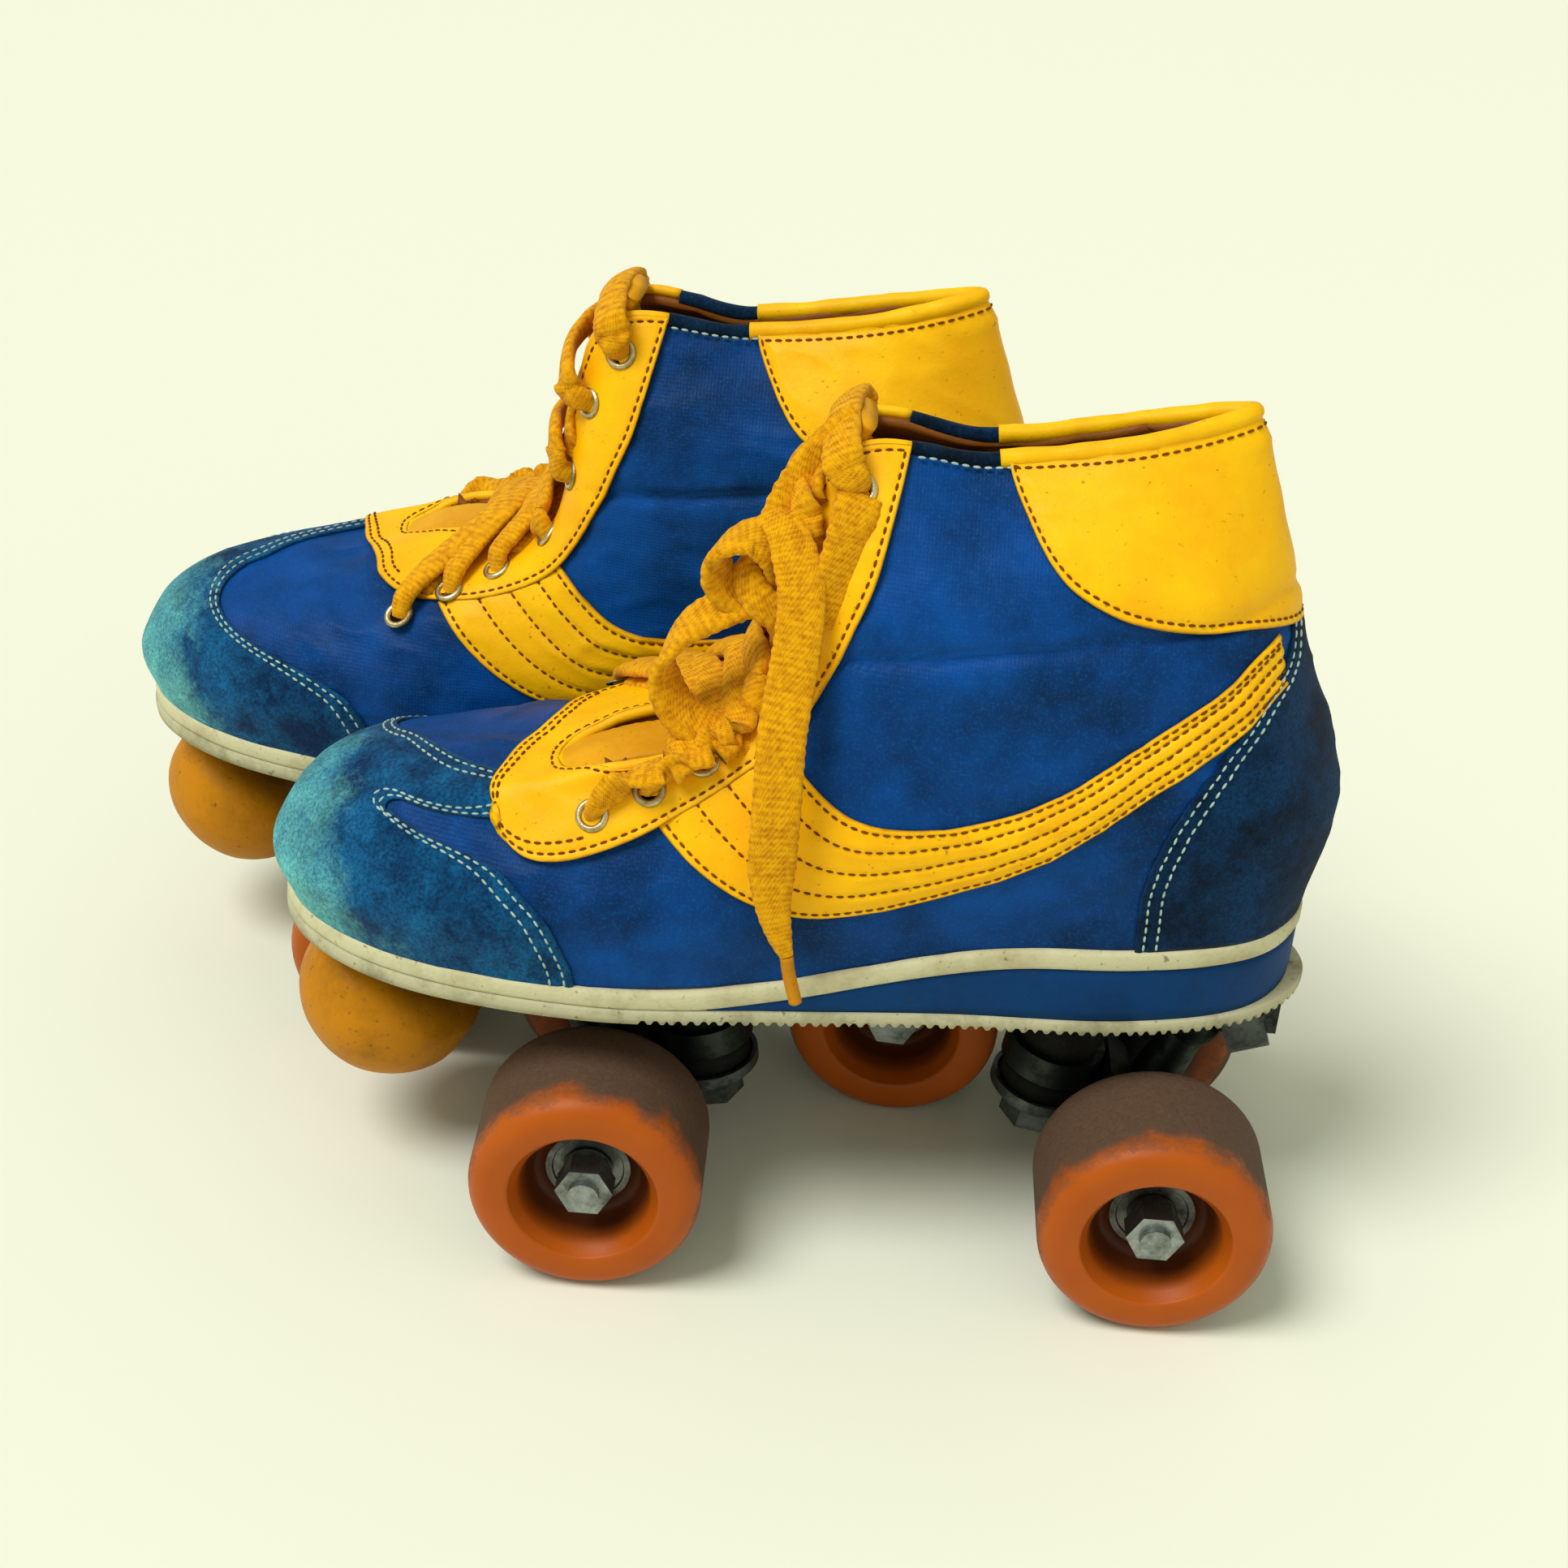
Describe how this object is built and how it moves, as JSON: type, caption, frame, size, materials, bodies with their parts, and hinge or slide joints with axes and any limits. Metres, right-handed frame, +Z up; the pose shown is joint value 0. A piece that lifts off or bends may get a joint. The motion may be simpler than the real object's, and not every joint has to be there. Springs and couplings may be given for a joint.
{
  "type": "pair of quad roller skates",
  "caption": "Pair of padded lace-up quad roller skates: sneaker boots on metal plates with sprung steering trucks, wide free-turning wheels and dome toe stops.",
  "frame": {"origin": "on the floor under the middle of the left skate, halfway between its axles", "axes": "+X to the left skate's heel, +Y to its inner side and the right skate, +Z up"},
  "size_m": [0.3338, 0.2239, 0.228],
  "materials": {
    "blue_nylon": "quilted woven nylon",
    "gold_leather": "smooth coated leather",
    "cream_rubber": "matt moulded rubber",
    "blue_foam": "matt moulded foam",
    "insole_board": "brushed",
    "lace_cotton": "woven cotton",
    "plate_alloy": "die-cast, dull",
    "plated_steel": "zinc plated",
    "dark_steel": "dull dark grey",
    "bearing_steel": "oiled",
    "orange_urethane": "translucent moulded polyurethane",
    "amber_rubber": "moulded rubber",
    "black_rubber": "moulded rubber",
    "nylon_cup": "moulded"
  },
  "bodies": {
    "left_skate": {"left_outer_quarter": "blue_nylon", "left_inner_quarter": "blue_nylon", "left_tongue": "gold_leather", "left_insole": "insole_board", "left_welt": "cream_rubber", "left_heel_wedge": "blue_foam", "left_outsole": "cream_rubber", "left_eyelets": "plated_steel", "left_lacing": "lace_cotton", "left_plate": "plate_alloy", "left_plate_bolts": "plated_steel", "left_kingpins": "plated_steel", "left_pivot_cups": "nylon_cup", "left_front_cushions": "black_rubber", "left_rear_cushions": "black_rubber", "left_toe_stop": "amber_rubber", "left_toe_stop_stem": "plated_steel", "left_lace_end": "lace_cotton", "left_lace_aglet": "lace_cotton"},
    "left_front_truck": {"left_front_hanger": "dark_steel", "left_front_axle": "plated_steel"},
    "left_front_outer_wheel_set": {"left_front_outer_wheel": "orange_urethane", "left_front_outer_bearings": "bearing_steel"},
    "left_front_inner_wheel_set": {"left_front_inner_wheel": "orange_urethane", "left_front_inner_bearings": "bearing_steel"},
    "left_rear_truck": {"left_rear_hanger": "dark_steel", "left_rear_axle": "plated_steel"},
    "left_rear_outer_wheel_set": {"left_rear_outer_wheel": "orange_urethane", "left_rear_outer_bearings": "bearing_steel"},
    "left_rear_inner_wheel_set": {"left_rear_inner_wheel": "orange_urethane", "left_rear_inner_bearings": "bearing_steel"},
    "right_skate": {"right_outer_quarter": "blue_nylon", "right_inner_quarter": "blue_nylon", "right_tongue": "gold_leather", "right_insole": "insole_board", "right_welt": "cream_rubber", "right_heel_wedge": "blue_foam", "right_outsole": "cream_rubber", "right_eyelets": "plated_steel", "right_lacing": "lace_cotton", "right_plate": "plate_alloy", "right_plate_bolts": "plated_steel", "right_kingpins": "plated_steel", "right_pivot_cups": "nylon_cup", "right_front_cushions": "black_rubber", "right_rear_cushions": "black_rubber", "right_toe_stop": "amber_rubber", "right_toe_stop_stem": "plated_steel"},
    "right_front_truck": {"right_front_hanger": "dark_steel", "right_front_axle": "plated_steel"},
    "right_front_outer_wheel_set": {"right_front_outer_wheel": "orange_urethane", "right_front_outer_bearings": "bearing_steel"},
    "right_front_inner_wheel_set": {"right_front_inner_wheel": "orange_urethane", "right_front_inner_bearings": "bearing_steel"},
    "right_rear_truck": {"right_rear_hanger": "dark_steel", "right_rear_axle": "plated_steel"},
    "right_rear_outer_wheel_set": {"right_rear_outer_wheel": "orange_urethane", "right_rear_outer_bearings": "bearing_steel"},
    "right_rear_inner_wheel_set": {"right_rear_inner_wheel": "orange_urethane", "right_rear_inner_bearings": "bearing_steel"}
  },
  "joints": [
    {"name": "left_front_truck_lean", "type": "hinge", "parent": "left_skate", "child": "left_front_truck", "pos_m": [-0.048, 0, 0.044], "axis": [-0.9398, 0, 0.3417], "range_deg": [-6, 6], "stiffness_Nm_per_rad": 30, "deforming": ["left_front_cushions"]},
    {"name": "left_front_outer_wheel_spin", "type": "hinge", "parent": "left_front_truck", "child": "left_front_outer_wheel_set", "pos_m": [-0.073, -0.044, 0.03], "axis": [0, 1, 0], "continuous": true},
    {"name": "left_front_inner_wheel_spin", "type": "hinge", "parent": "left_front_truck", "child": "left_front_inner_wheel_set", "pos_m": [-0.073, 0.044, 0.03], "axis": [0, 1, 0], "continuous": true},
    {"name": "left_rear_truck_lean", "type": "hinge", "parent": "left_skate", "child": "left_rear_truck", "pos_m": [0.048, 0, 0.044], "axis": [0.9398, 0, 0.3417], "range_deg": [-6, 6], "stiffness_Nm_per_rad": 30, "deforming": ["left_rear_cushions"]},
    {"name": "left_rear_outer_wheel_spin", "type": "hinge", "parent": "left_rear_truck", "child": "left_rear_outer_wheel_set", "pos_m": [0.073, -0.044, 0.03], "axis": [0, 1, 0], "continuous": true},
    {"name": "left_rear_inner_wheel_spin", "type": "hinge", "parent": "left_rear_truck", "child": "left_rear_inner_wheel_set", "pos_m": [0.073, 0.044, 0.03], "axis": [0, 1, 0], "continuous": true},
    {"name": "right_skate_set_apart", "type": "slide", "parent": "left_skate", "child": "right_skate", "axis": [0, 1, 0], "range_m": [0, 0.12]},
    {"name": "right_front_truck_lean", "type": "hinge", "parent": "right_skate", "child": "right_front_truck", "pos_m": [-0.11081, 0.09402, 0.044], "axis": [-0.9365, 0.0786, 0.3417], "range_deg": [-6, 6], "stiffness_Nm_per_rad": 30, "deforming": ["right_front_cushions"]},
    {"name": "right_front_outer_wheel_spin", "type": "hinge", "parent": "right_front_truck", "child": "right_front_outer_wheel_set", "pos_m": [-0.13204, 0.13995, 0.03], "axis": [0.0837, 0.9965, 0], "continuous": true},
    {"name": "right_front_inner_wheel_spin", "type": "hinge", "parent": "right_front_truck", "child": "right_front_inner_wheel_set", "pos_m": [-0.1394, 0.05226, 0.03], "axis": [0.0837, 0.9965, 0], "continuous": true},
    {"name": "right_rear_truck_lean", "type": "hinge", "parent": "right_skate", "child": "right_rear_truck", "pos_m": [-0.01514, 0.08598, 0.044], "axis": [0.9365, -0.0786, 0.3417], "range_deg": [-6, 6], "stiffness_Nm_per_rad": 30, "deforming": ["right_rear_cushions"]},
    {"name": "right_rear_outer_wheel_spin", "type": "hinge", "parent": "right_rear_truck", "child": "right_rear_outer_wheel_set", "pos_m": [0.01345, 0.12774, 0.03], "axis": [0.0837, 0.9965, 0], "continuous": true},
    {"name": "right_rear_inner_wheel_spin", "type": "hinge", "parent": "right_rear_truck", "child": "right_rear_inner_wheel_set", "pos_m": [0.00609, 0.04005, 0.03], "axis": [0.0837, 0.9965, 0], "continuous": true}
  ]
}
